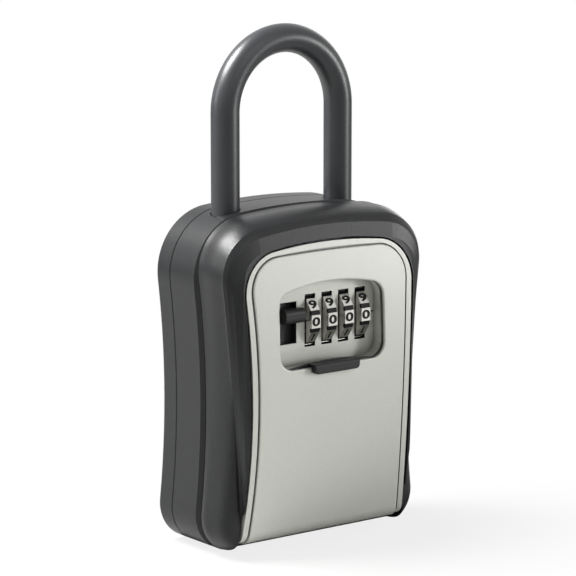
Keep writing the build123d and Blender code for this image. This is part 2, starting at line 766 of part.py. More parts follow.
# Shutter: curved slide with an arched top, and a thumb tab that hooks over the window's sill
with BuildPart() as dial_shutter:
    extrude(front_layer(shutter_front, shutter_back, shutter_low, shutter_top), amount=shutter_half, both=True)
    shutter_corner = shutter_top - shutter_crown_radius + sqrt(shutter_crown_radius ** 2 - shutter_half ** 2)
    with BuildSketch(at_y(0)) as shutter_outline:
        with BuildLine():
            ThreePointArc((-shutter_half, shutter_corner), (0, shutter_top), (shutter_half, shutter_corner))
            Polyline((shutter_half, shutter_corner), (shutter_half, shutter_low),
                     (-shutter_half, shutter_low), (-shutter_half, shutter_corner))
        make_face()
    extrude(amount=case_depth, mode=Mode.INTERSECT)
    neck_low = window_bottom + shutter_gap
    extrude(front_layer(cover_proud + 2 * shutter_gap, shutter_back, neck_low, neck_low + neck_height),
            amount=tab_half - 1.5, both=True)
    with BuildSketch(at_y(-rear_y)) as tab:
        with Locations((0, neck_low + neck_height - tab_height / 2)):
            Rectangle(2 * tab_half, tab_height)
        fillet(tab.vertices().group_by(Axis.Y)[0], tab_corner)
    extrude(amount=-(tab_reach + 1))
    fillet(dial_shutter.faces().sort_by(Axis.Y)[0].outer_wire().edges(), tab_round)
    with BuildSketch(Plane.YZ) as tab_back:
        with Locations((curve_y, front_apex)):
            Circle(front_radius + cover_proud + shutter_gap)
        with Locations((0, neck_low - tab_height / 2)):
            Rectangle(case_depth, tab_height, mode=Mode.INTERSECT)
    extrude(amount=tab_half, both=True, mode=Mode.SUBTRACT)
dial_shutter.part.label = "dial_shutter"

# Bezel: floor of the dial recess, with slots for the dials and the release lever
lever_x = (lever_slot_left + lever_slot_right) / 2
lever_z = (lever_slot_bottom + lever_slot_top) / 2
cheek_left = dial_centres[0] - dial_thickness / 2 - cheek_gap - cheek_thickness
cheek_right = dial_centres[-1] + dial_thickness / 2 + hub_thickness + cheek_gap
pads_clear = pad_reach + dial_slot_gap
slot_half = sqrt(pads_clear ** 2 - (dial_y - floor_y - relief_floor) ** 2)
relief_left = dial_centres[0] - dial_thickness / 2 - dial_slot_gap
with BuildPart() as dial_bezel:
    extrude(window_outline(web_rear_y, -bezel_gap), amount=web_rear_y - floor_y)
    extrude(window_outline(web_rear_y, flange_overlap), amount=-flange_thickness)
    with BuildSketch(at_y(floor_y - 1)) as slots:
        for x in dial_centres:
            with Locations((x, dial_height)):
                Rectangle(dial_thickness + 2 * dial_slot_gap, 2 * slot_half)
        with Locations((lever_x, lever_z)):
            Rectangle(lever_slot_right - lever_slot_left, lever_slot_top - lever_slot_bottom)
    extrude(amount=-case_depth, mode=Mode.SUBTRACT)
    # relief behind the floor, where the dials and their hubs turn
    with BuildSketch(at_y(floor_y + relief_floor)) as relief:
        with Locations(((relief_left + cheek_right) / 2, dial_height)):
            Rectangle(cheek_right - relief_left, 2 * pads_clear)
    extrude(amount=-bezel_thickness - flange_thickness, mode=Mode.SUBTRACT)
    # engraved line that the dialled numbers stand on
    with BuildSketch(at_y(floor_y)) as index_line:
        with Locations(((window_half + lever_slot_right) / 2, dial_height)):
            Rectangle(window_half - lever_slot_right, index_width)
    extrude(amount=-index_depth, mode=Mode.SUBTRACT)
dial_bezel.part.label = "dial_bezel"

# Carriage: bracket that carries the shaft of the dials
flange_rear_y = web_rear_y + flange_thickness
carriage_z = dial_height - pad_reach - carriage_gap - cheek_thickness
with BuildPart() as dial_carriage:
    with BuildSketch(Plane.XY.offset(carriage_z)):
        with Locations(((cheek_left + cheek_right + cheek_thickness) / 2,
                        (flange_rear_y + dial_y + pad_reach) / 2)):
            Rectangle(cheek_right + cheek_thickness - cheek_left, dial_y + pad_reach - flange_rear_y)
    extrude(amount=cheek_thickness)
    for x in (cheek_left, cheek_right):
        with BuildSketch(Plane.YZ.offset(x)):
            with BuildLine():
                Polyline((dial_y + cheek_round, dial_height), (dial_y + pad_reach, carriage_z),
                         (flange_rear_y, carriage_z), (flange_rear_y, dial_height),
                         (dial_y - cheek_round, dial_height))
                ThreePointArc((dial_y - cheek_round, dial_height), (dial_y, dial_height + cheek_round),
                              (dial_y + cheek_round, dial_height))
            make_face()
            with Locations((dial_y, dial_height)):
                Circle(shaft_radius + thread_gap, mode=Mode.SUBTRACT)
        extrude(amount=cheek_thickness)
dial_carriage.part.label = "dial_carriage"

with BuildPart() as dial_shaft:
    with BuildSketch(Plane.YZ.offset(cheek_left - 0.6)):
        with Locations((dial_y, dial_height)):
            Circle(shaft_radius)
    extrude(amount=cheek_right + cheek_thickness - cheek_left + 1.2)
    chamfer(dial_shaft.edges(), shaft_radius / 5)
dial_shaft.part.label = "dial_shaft"

# Detent spring: a leaf with one bowed tongue under each dial
with BuildPart() as detent_spring:
    with BuildSketch(Plane.YZ.offset(dial_centres[0] - dial_thickness / 2)) as leaf:
        with Locations((dial_y, carriage_z + cheek_thickness + leaf_thickness / 2)):
            Rectangle(leaf_width, leaf_thickness)
    extrude(amount=dial_centres[-1] - dial_centres[0] + dial_thickness)
    for x in dial_centres:
        with BuildSketch(Plane.YZ.offset(x - tongue_width / 2)):
            with BuildLine():
                base = carriage_z + cheek_thickness + leaf_thickness / 2
                rise = dial_height - pad_reach - shutter_gap
                ThreePointArc((dial_y - tongue_half, base), (dial_y, rise), (dial_y + tongue_half, base))
                ThreePointArc((dial_y + tongue_half, base), (dial_y, rise - leaf_thickness),
                              (dial_y - tongue_half, base))
            make_face()
        extrude(amount=tongue_width)
detent_spring.part.label = "detent_spring"

# Number dials: ten raised pads round each core, with a gated hub on its right side
dials, hubs = {}, {}
for n, x in enumerate(dial_centres, 1):
    with BuildPart() as dial:
        with BuildSketch(Plane.YZ.offset(x - dial_thickness / 2)):
            with Locations((dial_y, dial_height)):
                Circle(dial_core_radius)
                with PolarLocations(pad_radius - pad_height, pad_count, start_angle=180):
                    Rectangle(2 * pad_height, pad_width)
                Circle(shaft_radius + running_gap, mode=Mode.SUBTRACT)
        extrude(amount=dial_thickness)
    dials[f"dial_{n}"] = dial.part
    with BuildPart() as hub:
        with BuildSketch(Plane.YZ.offset(x + dial_thickness / 2)):
            with Locations((dial_y, dial_height)):
                Circle(hub_radius)
                Circle(shaft_radius + running_gap, mode=Mode.SUBTRACT)
            with Locations((dial_y, dial_height + hub_radius)):
                Rectangle(gate_width, 2 * gate_depth, mode=Mode.SUBTRACT)
        extrude(amount=hub_thickness)
    hubs[f"dial_hub_{n}"] = hub.part

# Latch plate: nose at its head, fence teeth over the hubs, spring seat at its foot
tooth_tip = dial_height + hub_radius + latch_down + fence_gap
bar_low = dial_height + pad_reach + latch_down + fence_gap
plate_left = lever_slot_left - shield_overlap
plate_right = cheek_left - cheek_gap
with BuildPart() as latch_plate:
    with BuildSketch(at_y(latch_rear_y)) as plate:
        with Locations(((plate_left + plate_right) / 2, (plate_foot_z + bar_low + bar_height) / 2)):
            Rectangle(plate_right - plate_left, bar_low + bar_height - plate_foot_z)
        with Locations(((plate_left + cheek_right) / 2, bar_low + bar_height / 2)):
            Rectangle(cheek_right - plate_left, bar_height)
        with Locations((0, (bar_low + nose_top) / 2)):
            Rectangle(2 * nose_half, nose_top - bar_low)
        for x in dial_centres:
            with Locations((x + dial_thickness / 2 + hub_thickness / 2, (tooth_tip + bar_low + 1) / 2)):
                Rectangle(tooth_width, bar_low + 1 - tooth_tip)
    extrude(amount=latch_thickness)
    chamfer(latch_plate.faces().sort_by(Axis.Z)[-1].edges().filter_by(Axis.X).sort_by(Axis.Y)[0], nose_bevel)
latch_plate.part.label = "latch_plate"

# Release lever: ribbed knob in the floor slot, with a shield that keeps the slot closed
shield_front_y = flange_rear_y + shield_gap
with BuildPart() as release_lever:
    with BuildSketch(at_y(shield_front_y)) as shield:
        shield_low = lever_slot_bottom - latch_up - shield_lap
        shield_high = lever_slot_top + latch_down + shield_lap
        with Locations(((plate_left + plate_right) / 2, (shield_low + shield_high) / 2)):
            Rectangle(plate_right - plate_left, shield_high - shield_low)
    extrude(amount=-shield_thickness)
    with BuildSketch(Plane.YZ.offset(lever_slot_left + lever_gap)) as knob:
        with Locations(((floor_y - knob_reach + latch_front_y) / 2, knob_bottom + knob_height / 2)):
            Rectangle(latch_front_y - floor_y + knob_reach, knob_height)
        fillet(knob.vertices().group_by(Axis.X)[0], knob_round)
    extrude(amount=lever_slot_right - lever_slot_left - 2 * lever_gap)
    with BuildSketch(Plane.YZ.offset(lever_slot_right - lever_gap)) as knob_end:
        with Locations((floor_y - (knob_reach + knob_clear) / 2, knob_bottom + knob_height / 2)):
            Rectangle(knob_reach - knob_clear, knob_height)
        fillet(knob_end.vertices().group_by(Axis.X)[0], knob_round)
    extrude(amount=knob_over + lever_gap)
release_lever.part.label = "release_lever"

# Latch spring between the shelf and the plate's foot
with BuildPart() as latch_spring:
    with BuildLine() as coil:
        Helix((spring_length - spring_wire) / spring_turns, spring_length - spring_wire, spring_radius,
              center=(spring_x, dial_y, spring_foot_z + spring_wire / 2))
    with BuildSketch(Plane(origin=coil.line @ 0, z_dir=coil.line % 0)):
        RegularPolygon(spring_wire / 2, 6)
    sweep(is_frenet=True)
latch_spring.part.label = "latch_spring"

# Back plate of the door, and the code change slide that shows in it
with BuildPart() as door_back_plate:
    with BuildSketch(at_y(tray_rear_y)) as plate_outline:
        with Locations((0, (tangent_z + tray_top) / 2)):
            Rectangle(2 * tray_half, tray_top - tangent_z)
        fillet(plate_outline.vertices().group_by(Axis.Y)[-1], tray_corner_radius)
        with Locations(*door_screw_places):
            Circle(screw_radius + thread_gap, mode=Mode.SUBTRACT)
        with Locations((change_x + change_travel / 2, change_z)):
            RectangleRounded(change_stem + change_travel + 2 * lever_gap, change_slot_height, 0.4,
                             mode=Mode.SUBTRACT)
    extrude(amount=-back_plate_thickness)
    with BuildSketch(at_y(back_plate_rear_y)) as sinks:
        with Locations(*door_screw_places):
            Circle(sunk_head_radius + thread_gap)
    extrude(amount=sunk_head_radius - screw_radius, taper=45, mode=Mode.SUBTRACT)
door_back_plate.part.label = "door_back_plate"

with BuildPart() as code_change_slide:
    with BuildSketch(at_y(back_plate_rear_y + slide_gap)):
        with Locations((change_x, change_z)):
            RectangleRounded(change_stem + 2.4, change_slot_height + 2.4, 1.0)
    extrude(amount=-change_reach)
    with BuildSketch(at_y(back_plate_rear_y + slide_gap)):
        with Locations((change_x, change_z)):
            Rectangle(change_stem, change_slot_height - 2 * lever_gap)
    extrude(amount=back_plate_thickness + 2 * slide_gap)
    with BuildSketch(at_y(tray_rear_y - slide_gap)):
        with Locations((change_x, change_z)):
            Rectangle(change_stem + 3, change_slot_height + 3)
    extrude(amount=change_foot)
code_change_slide.part.label = "code_change_slide"

door_screw_tip_y = tray_rear_y - tray_depth + wall + 0.5
door_screws = {f"door_screw_{n}": sunk_screw(x, z, back_plate_rear_y, door_screw_tip_y)
               for n, (x, z) in enumerate(door_screw_places, 1)}

families = [bushes, keeper_screws, cover_screws, housing_screws, door_screws, dials, hubs]
for family in families:
    for name, solid in family.items():
        solid.label = name
        export_step(solid, f"parts/{name}.step")
for piece in (case_body, back_cover, shackle_housing, keeper_plate, hinge_pin, shackle_bar, shackle_sleeve,
              shackle_stop_pin, shackle_lock_plate, shackle_release_button, door_frame, front_cover,
              dial_shutter, dial_bezel, dial_carriage, dial_shaft, detent_spring, latch_plate, release_lever,
              latch_spring, door_back_plate, code_change_slide):
    export_step(piece.part, f"parts/{piece.part.label}.step")
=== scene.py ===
import json
import math

import bmesh
import bpy
from mathutils import Matrix, Vector


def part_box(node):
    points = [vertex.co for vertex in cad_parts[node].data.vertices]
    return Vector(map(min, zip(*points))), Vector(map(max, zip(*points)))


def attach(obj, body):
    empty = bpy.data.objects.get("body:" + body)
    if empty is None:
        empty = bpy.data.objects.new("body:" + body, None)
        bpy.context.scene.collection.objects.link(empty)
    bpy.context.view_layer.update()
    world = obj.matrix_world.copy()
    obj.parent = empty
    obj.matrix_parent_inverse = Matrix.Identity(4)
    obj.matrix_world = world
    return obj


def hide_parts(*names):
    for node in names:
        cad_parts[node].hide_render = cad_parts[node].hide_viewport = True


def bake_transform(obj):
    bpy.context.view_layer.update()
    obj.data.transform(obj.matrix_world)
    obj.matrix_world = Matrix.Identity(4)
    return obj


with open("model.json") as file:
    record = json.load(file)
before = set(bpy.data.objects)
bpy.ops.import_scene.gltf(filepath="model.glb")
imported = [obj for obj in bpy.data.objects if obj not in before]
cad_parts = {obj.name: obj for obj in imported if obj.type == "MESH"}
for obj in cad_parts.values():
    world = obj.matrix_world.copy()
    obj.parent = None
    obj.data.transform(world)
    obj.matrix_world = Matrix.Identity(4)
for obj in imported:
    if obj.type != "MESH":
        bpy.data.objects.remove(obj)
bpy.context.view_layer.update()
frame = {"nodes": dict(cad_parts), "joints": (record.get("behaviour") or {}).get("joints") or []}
nodes = frame["nodes"]
jointPlaces = {joint["name"]: Vector(joint["pos_m"]) for joint in frame["joints"]
               if "pos_m" in joint}
mm = 0.001


def linear(hexColour):
    # sRGB hex to the linear colour that a shader takes
    parts = [int(hexColour[i:i + 2], 16) / 255 for i in (1, 3, 5)]
    return tuple(p / 12.92 if p <= 0.04045 else ((p + 0.055) / 1.055) ** 2.4
                 for p in parts) + (1.0,)


def join(owner, node, links):
    # links into a node, from a socket or from the first open output of another node
    for socket, source in links.items():
        if not isinstance(source, bpy.types.NodeSocket):
            source = next(output for output in source.outputs if output.enabled)
        owner.node_tree.links.new(source, node.inputs[socket])


def addNode(owner, kind, links=None, **settings):
    # one node: settings that the node has are set on it, the rest are values of its sockets
    node = owner.node_tree.nodes.new(kind)
    for setting, value in settings.items():
        if hasattr(node, setting):
            setattr(node, setting, value)
        else:
            node.inputs[setting.replace("_", " ")].default_value = value
    join(owner, node, links or {})
    return node


def newMaterial(name, colour, metallic, roughness, **more):
    material = bpy.data.materials.new(name)
    material.use_nodes = True
    shader = material.node_tree.nodes["Principled BSDF"]
    shader.inputs["Base Color"].default_value = linear(colour)
    shader.inputs["Metallic"].default_value = metallic
    shader.inputs["Roughness"].default_value = roughness
    for socket, value in more.items():
        shader.inputs[socket.replace("_", " ")].default_value = value
    return material, shader


def patternPlace(material, sizeMm, stretch=(1, 1, 1)):
    # place on the object in steps of sizeMm; a stretch below 1 draws a pattern out along its axis
    place = addNode(material, "ShaderNodeTexCoord").outputs["Object"]
    return addNode(material, "ShaderNodeMapping", {"Vector": place},
                   Scale=[share / (sizeMm * mm) for share in stretch])


def shadeSeams(material, shader, colour, seam):
    # painted shade: the coat's base colour is darkened inside seams, grooves and recesses, where
    # little light gets in
    hidden = addNode(material, "ShaderNodeAmbientOcclusion", samples=seam["samples"],
                     Distance=seam["reachMm"] * mm)
    shade = addNode(material, "ShaderNodeMapRange", {"Value": hidden.outputs["AO"]},
                    From_Min=seam["closed"], From_Max=seam["open"], To_Min=seam["darkest"])
    dark = addNode(material, "ShaderNodeVectorMath", {0: colour, "Scale": shade},
                   operation="SCALE")
    join(material, shader, {"Base Color": dark})


def powderCoatedZinc():
    # zinc die-casting, near-black satin powder coat: dark where it mirrors nothing bright, with
    # broad highlights that break into fine grains; the grain is drawn coarser than the real
    # 0.1 mm, so that it shows
    coat = {"base": "#090A0B", "light": "#18191B", "grainMm": 0.42, "peelMm": 1.2,
            "smooth": 0.34, "rough": 0.44, "reliefMm": 0.04, "relief": 0.55}
    # painted shade: how strongly the coat's colour darkens in seams and grooves
    seam = {"reachMm": 1.4, "samples": 8, "closed": 0.15, "open": 0.75, "darkest": 0.25}
    material, shader = newMaterial("powder-coated zinc", coat["base"], 0.0, 0.4,
                                   Specular_IOR_Level=0.32)
    grain = addNode(material, "ShaderNodeTexNoise",
                    {"Vector": patternPlace(material, coat["grainMm"])},
                    Scale=1, Detail=3, Roughness=0.6)
    peel = addNode(material, "ShaderNodeTexNoise",
                   {"Vector": patternPlace(material, coat["peelMm"])}, Scale=1, Detail=1)
    crisp = addNode(material, "ShaderNodeMapRange", {"Value": grain},
                    From_Min=0.35, From_Max=0.65)
    tone = addNode(material, "ShaderNodeMix", {"Factor": crisp}, data_type="RGBA",
                   A=linear(coat["base"]), B=linear(coat["light"]))
    shadeSeams(material, shader, tone, seam)
    gloss = addNode(material, "ShaderNodeMapRange", {"Value": grain},
                    From_Min=0.3, From_Max=0.7, To_Min=coat["smooth"], To_Max=coat["rough"])
    height = addNode(material, "ShaderNodeMath", {0: grain, 1: peel}, operation="ADD")
    bump = addNode(material, "ShaderNodeBump", {"Height": height},
                   Strength=coat["relief"], Distance=coat["reliefMm"] * mm)
    join(material, shader, {"Roughness": gloss, "Normal": bump})
    return material


def satinLacquer(name, shadedBehind=None):
    # two-coat silver-grey car-type lacquer on an alloy casting: even, warm grey, with a soft
    # sheen and a barely visible flake, drawn coarser than the real 0.05 mm so that it shows;
    # painted shade: walls that lie behind shadedBehind (m) are coloured near-black, for the
    # shadow inside the slots
    coat = {"base": "#C6C7C0", "light": "#CDCEC7", "slotShade": "#1A1A1A", "edgeMm": 0.1,
            "flakeMm": 0.35, "cloudMm": 9, "smooth": 0.38, "rough": 0.45,
            "reliefMm": 0.01, "relief": 0.4}
    # painted shade: how strongly the lacquer's colour darkens in seams, grooves and the deep
    # recess
    seam = {"reachMm": 4.0, "samples": 8, "closed": 0.15, "open": 0.85, "darkest": 0.3}
    material, shader = newMaterial(name, coat["base"], 0.12, 0.36,
                                   Coat_Weight=0.25, Coat_Roughness=0.28)
    flake = addNode(material, "ShaderNodeTexNoise",
                    {"Vector": patternPlace(material, coat["flakeMm"])}, Scale=1, Detail=2)
    cloud = addNode(material, "ShaderNodeTexNoise",
                    {"Vector": patternPlace(material, coat["cloudMm"])}, Scale=1, Detail=2)
    crisp = addNode(material, "ShaderNodeMapRange", {"Value": flake}, From_Min=0.3, From_Max=0.7)
    colour = addNode(material, "ShaderNodeMix", {"Factor": crisp}, data_type="RGBA",
                     A=linear(coat["base"]), B=linear(coat["light"]))
    # painted shade: walls deeper than the given depth are coloured near-black, for the shadow in
    # the slots
    if shadedBehind is not None:
        place = addNode(material, "ShaderNodeTexCoord").outputs["Object"]
        parts = addNode(material, "ShaderNodeSeparateXYZ", {"Vector": place})
        behind = addNode(material, "ShaderNodeMapRange", {"Value": parts.outputs["Y"]},
                         From_Min=shadedBehind, From_Max=shadedBehind + coat["edgeMm"] * mm)
        colour = addNode(material, "ShaderNodeMix", {"Factor": behind, "A": colour},
                         data_type="RGBA", B=linear(coat["slotShade"]))
    shadeSeams(material, shader, colour, seam)
    gloss = addNode(material, "ShaderNodeMapRange", {"Value": cloud},
                    To_Min=coat["smooth"], To_Max=coat["rough"])
    bump = addNode(material, "ShaderNodeBump", {"Height": flake},
                   Strength=coat["relief"], Distance=coat["reliefMm"] * mm)
    join(material, shader, {"Roughness": gloss, "Normal": bump})
    return material


def vinylSleeve():
    # soft PVC sleeve drawn over the steel bow: smooth charcoal, with wide soft highlights
    sleeve = {"base": "#26282B", "drawMm": 0.9, "drawn": (1, 1, 0.15), "smooth": 0.31,
              "rough": 0.42, "reliefMm": 0.015, "relief": 0.5}
    material, shader = newMaterial("charcoal vinyl", sleeve["base"], 0.0, 0.36, IOR=1.52)
    draw = addNode(material, "ShaderNodeTexNoise",
                   {"Vector": patternPlace(material, sleeve["drawMm"], sleeve["drawn"])},
                   Scale=1, Detail=2)
    gloss = addNode(material, "ShaderNodeMapRange", {"Value": draw},
                    To_Min=sleeve["smooth"], To_Max=sleeve["rough"])
    bump = addNode(material, "ShaderNodeBump", {"Height": draw},
                   Strength=sleeve["relief"], Distance=sleeve["reliefMm"] * mm)
    join(material, shader, {"Roughness": gloss, "Normal": bump})
    return material


def mouldedAbs():
    # injection-moulded black ABS with a spark-eroded mould finish: dull, with a fine grain that
    # is drawn coarser than the real 0.1 mm, so that it shows
    grip = {"base": "#0E0F10", "grainMm": 0.3, "smooth": 0.42, "rough": 0.56, "reliefMm": 0.02,
            "relief": 0.5}
    material, shader = newMaterial("black moulded ABS", grip["base"], 0.0, 0.48,
                                   Specular_IOR_Level=0.35)
    grain = addNode(material, "ShaderNodeTexNoise",
                    {"Vector": patternPlace(material, grip["grainMm"])}, Scale=1, Detail=2)
    gloss = addNode(material, "ShaderNodeMapRange", {"Value": grain},
                    To_Min=grip["smooth"], To_Max=grip["rough"])
    bump = addNode(material, "ShaderNodeBump", {"Height": grain},
                   Strength=grip["relief"], Distance=grip["reliefMm"] * mm)
    join(material, shader, {"Roughness": gloss, "Normal": bump})
    return material


def filledNylon():
    # glass-filled nylon of the inner housing: dark grey with pale fibre streaks
    block = {"base": "#303133", "streak": "#3E4042", "fibreMm": 0.6, "drawn": (1, 1, 0.2),
             "reliefMm": 0.02, "relief": 0.4}
    material, shader = newMaterial("glass-filled nylon", block["base"], 0.0, 0.55, IOR=1.53)
    fibre = addNode(material, "ShaderNodeTexNoise",
                    {"Vector": patternPlace(material, block["fibreMm"], block["drawn"])},
                    Scale=1, Detail=3)
    crisp = addNode(material, "ShaderNodeMapRange", {"Value": fibre},
                    From_Min=0.45, From_Max=0.65)
    tone = addNode(material, "ShaderNodeMix", {"Factor": crisp}, data_type="RGBA",
                   A=linear(block["base"]), B=linear(block["streak"]))
    bump = addNode(material, "ShaderNodeBump", {"Height": fibre},
                   Strength=block["relief"], Distance=block["reliefMm"] * mm)
    join(material, shader, {"Base Color": tone, "Normal": bump})
    return material


def satinNickel():
    # nickel plate over turned zinc: bright, with turning lines round each dial, drawn coarser
    # than the real 0.05 mm so that they show
    plate = {"base": "#C9C7C2", "lineMm": 0.18, "turned": (1, 0.04, 0.04), "smooth": 0.2,
             "rough": 0.36, "reliefMm": 0.006, "relief": 0.5}
    material, shader = newMaterial("satin nickel plate", plate["base"], 1.0, 0.26)
    lines = addNode(material, "ShaderNodeTexNoise",
                    {"Vector": patternPlace(material, plate["lineMm"], plate["turned"])},
                    Scale=1, Detail=1)
    gloss = addNode(material, "ShaderNodeMapRange", {"Value": lines},
                    To_Min=plate["smooth"], To_Max=plate["rough"])
    bump = addNode(material, "ShaderNodeBump", {"Height": lines},
                   Strength=plate["relief"], Distance=plate["reliefMm"] * mm)
    join(material, shader, {"Roughness": gloss, "Normal": bump})
    return material


def blackenedSteel():
    # black-oxided steel of the dials' carriage, detent and shaft: dull, with a faint oily cloud
    oxide = {"low": "#17181A", "high": "#232427", "cloudMm": 1.8, "smooth": 0.42, "rough": 0.58}
    material, shader = newMaterial("blackened steel", oxide["low"], 0.5, 0.5)
    cloud = addNode(material, "ShaderNodeTexNoise",
                    {"Vector": patternPlace(material, oxide["cloudMm"])}, Scale=1, Detail=2)
    tone = addNode(material, "ShaderNodeMix", {"Factor": cloud}, data_type="RGBA",
                   A=linear(oxide["low"]), B=linear(oxide["high"]))
    gloss = addNode(material, "ShaderNodeMapRange", {"Value": cloud},
                    To_Min=oxide["smooth"], To_Max=oxide["rough"])
    join(material, shader, {"Base Color": tone, "Roughness": gloss})
    return material


def blackEnamel():
    # enamel wiped into the dials' figures and grooves: dense black, a little dulled by use; in
    # the grooves it is partly painted shade, on bars that cover the valleys' glints
    wiped = {"base": "#0A0A0A", "rippleMm": 0.5, "smooth": 0.45, "rough": 0.6}
    material, shader = newMaterial("black enamel", wiped["base"], 0.0, 0.5,
                                   Specular_IOR_Level=0.15)
    ripple = addNode(material, "ShaderNodeTexNoise",
                     {"Vector": patternPlace(material, wiped["rippleMm"])}, Scale=1, Detail=2)
    gloss = addNode(material, "ShaderNodeMapRange", {"Value": ripple},
                    To_Min=wiped["smooth"], To_Max=wiped["rough"])
    join(material, shader, {"Roughness": gloss})
    return material


def zincPlatedSteel():
    # pressed steel with blue-white zinc plate: bright grey with a cloudy, faintly rolled surface
    sheet = {"low": "#9FA2A6", "high": "#B9BCC0", "cloudMm": 2.5, "rollMm": 0.25,
             "rolled": (1, 1, 0.05), "smooth": 0.27, "rough": 0.45, "reliefMm": 0.006,
             "relief": 0.4}
    material, shader = newMaterial("zinc-plated steel", sheet["high"], 1.0, 0.34)
    cloud = addNode(material, "ShaderNodeTexNoise",
                    {"Vector": patternPlace(material, sheet["cloudMm"])}, Scale=1, Detail=3)
    roll = addNode(material, "ShaderNodeTexNoise",
                   {"Vector": patternPlace(material, sheet["rollMm"], sheet["rolled"])},
                   Scale=1, Detail=1)
    tone = addNode(material, "ShaderNodeMix", {"Factor": cloud}, data_type="RGBA",
                   A=linear(sheet["low"]), B=linear(sheet["high"]))
    gloss = addNode(material, "ShaderNodeMapRange", {"Value": roll},
                    To_Min=sheet["smooth"], To_Max=sheet["rough"])
    bump = addNode(material, "ShaderNodeBump", {"Height": roll},
                   Strength=sheet["relief"], Distance=sheet["reliefMm"] * mm)
    join(material, shader, {"Base Color": tone, "Roughness": gloss, "Normal": bump})
    return material


def machinedBrass():
    # turned brass of the hubs and bushes: yellow, with lines from the lathe
    bar = {"base": "#C79F55", "lineMm": 0.2, "turned": (1, 0.05, 0.05), "smooth": 0.2,
           "rough": 0.4}
    material, shader = newMaterial("machined brass", bar["base"], 1.0, 0.28)
    lines = addNode(material, "ShaderNodeTexNoise",
                    {"Vector": patternPlace(material, bar["lineMm"], bar["turned"])},
                    Scale=1, Detail=1)
    gloss = addNode(material, "ShaderNodeMapRange", {"Value": lines},
                    To_Min=bar["smooth"], To_Max=bar["rough"])
    join(material, shader, {"Roughness": gloss})
    return material


# the recess floor is the foremost face of the bezel; what lies this far behind it is a slot wall
slotEdgeMm = 0.15
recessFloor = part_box("dial_bezel")[0][1]

caseCoat = powderCoatedZinc()
doorLacquer = satinLacquer("silver-grey satin lacquer")
# painted shade: this lacquer colours the slot walls behind the recess floor near-black
recessLacquer = satinLacquer("silver-grey satin lacquer of the recess",
                             recessFloor + slotEdgeMm * mm)
sleeveVinyl = vinylSleeve()
blackAbs = mouldedAbs()
housingNylon = filledNylon()
dialNickel = satinNickel()
enamel = blackEnamel()
steelPlate = zincPlatedSteel()
brass = machinedBrass()
blackSteel = blackenedSteel()
print("materials made")

finishes = {
    caseCoat: ("case_body", "back_cover"),
    doorLacquer: ("door_frame", "front_cover"),
    recessLacquer: ("dial_bezel",),
    blackSteel: ("dial_carriage", "detent_spring", "dial_shaft"),
    sleeveVinyl: ("shackle_sleeve",),
    blackAbs: ("dial_shutter", "release_lever", "shackle_release_button", "code_change_slide"),
    housingNylon: ("shackle_housing",),
    dialNickel: tuple(name for name in nodes if name.startswith("dial_") and name[5:].isdigit()),
    brass: tuple(name for name in nodes if "hub" in name or "bush" in name),
}
finishOf = {name: material for material, names in finishes.items() for name in names}
for name, piece in nodes.items():
    piece.data.materials.clear()
    piece.data.materials.append(finishOf.get(name, steelPlate))
print("finishes put on", len(nodes), "pieces")


def newPiece(name, mesh, material):
    piece = bpy.data.objects.new(name, mesh)
    bpy.context.scene.collection.objects.link(piece)
    mesh.materials.clear()
    mesh.materials.append(material)
    return piece


dialEnamel = {"dials": 4, "figures": 10, "padMm": 9.85, "heightMm": 3.2, "widthMm": 3.4,
              "fontScale": 1.25, "weightMm": 0.14, "reliefMm": 0.05, "barMiddleMm": 9.5,
              "barMm": (3.7, 1.6, 0.94)}


def figureMesh(figure):
    # one numeral as a flat mesh in its own XY plane, centred; all but the 1 have one width
    curve = bpy.data.curves.new("figure", "FONT")
    curve.body = str(figure)
    curve.size = dialEnamel["heightMm"] * mm * dialEnamel["fontScale"]
    curve.extrude = dialEnamel["reliefMm"] * mm
    curve.offset = dialEnamel["weightMm"] * mm
    curve.align_x, curve.align_y = "CENTER", "CENTER"
    holder = bpy.data.objects.new("figure", curve)
    bpy.context.scene.collection.objects.link(holder)
    bpy.context.view_layer.update()
    seen = holder.evaluated_get(bpy.context.evaluated_depsgraph_get())
    mesh = bpy.data.meshes.new_from_object(seen)
    bpy.data.objects.remove(holder)
    low = Vector([min(v.co[i] for v in mesh.vertices) for i in range(3)])
    high = Vector([max(v.co[i] for v in mesh.vertices) for i in range(3)])
    size = high - low
    wider = 1.0 if figure == 1 else dialEnamel["widthMm"] * mm / size.x
    stretch = Matrix.Diagonal((wider, dialEnamel["heightMm"] * mm / size.y, 1, 1))
    mesh.transform(stretch @ Matrix.Translation(-(low + high) / 2))
    return mesh


def barMesh():
    # black bar in the valley between two pads, in its own XY plane: partly enamel, partly painted
    # shade that stands for the valley's shadow and covers its glints
    bar = bmesh.new()
    bmesh.ops.create_cube(bar, size=mm, matrix=Matrix.Diagonal((*dialEnamel["barMm"], 1)))
    mesh = bpy.data.meshes.new("bar")
    bar.to_mesh(mesh)
    bar.free()
    return mesh


def dialFigures(number, centre):
    # figures on the pads, upright at the front with 0 on the line at rest, and bars between them
    # that are partly enamel, partly painted shade
    whole = bmesh.new()
    stand = Matrix.Rotation(math.radians(90), 4, "X")
    step = 2 * math.pi / dialEnamel["figures"]
    for figure in range(dialEnamel["figures"]):
        for mesh, radiusMm, angle in (
                (figureMesh(figure), dialEnamel["padMm"], figure * step),
                (barMesh(), dialEnamel["barMiddleMm"], (figure + 0.5) * step)):
            out = Matrix.Translation((0, -radiusMm * mm, 0))
            turn = Matrix.Rotation(angle, 4, "X")
            mesh.transform(Matrix.Translation(centre) @ turn @ out @ stand)
            whole.from_mesh(mesh)
            bpy.data.meshes.remove(mesh)
    mesh = bpy.data.meshes.new(f"dial_{number}_enamel")
    whole.to_mesh(mesh)
    whole.free()
    piece = newPiece(f"dial_{number}_enamel", mesh, enamel)
    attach(piece, f"number_dial_{number}")


